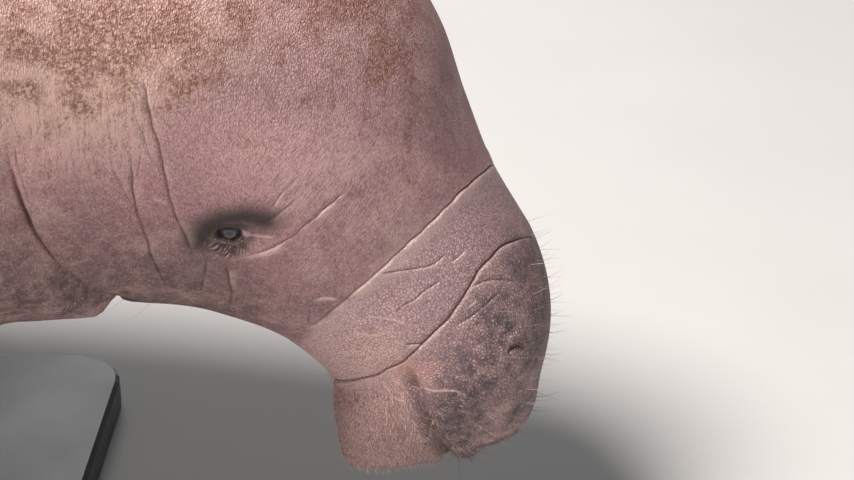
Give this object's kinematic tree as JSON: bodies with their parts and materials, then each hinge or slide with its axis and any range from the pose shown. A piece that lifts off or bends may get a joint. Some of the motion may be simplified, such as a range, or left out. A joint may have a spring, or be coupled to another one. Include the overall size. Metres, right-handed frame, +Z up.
{
  "type": "manatee display model",
  "caption": "Life-size still model of a Florida manatee with its head bent down to feed, held over a flat base by two short rods.",
  "frame": {"origin": "on the floor, at the middle of the underside of the stand's base", "axes": "+X towards the animal's head, +Y to its left side, +Z up"},
  "size_m": [2.8367, 0.9634, 0.8347],
  "materials": {
    "skin": "matte",
    "eye": "gloss",
    "rod": "satin",
    "base": "satin"
  },
  "bodies": {
    "root": {"head": "skin", "lower_jaw": "skin", "neck": "skin", "chest": "skin", "belly": "skin", "tail_stock": "skin", "tail_paddle": "skin", "flipper_left": "skin", "flipper_right": "skin", "eye_left": "eye", "eye_right": "eye", "stand_base": "base", "stand_rod_front": "rod", "stand_rod_rear": "rod"}
  },
  "joints": []
}
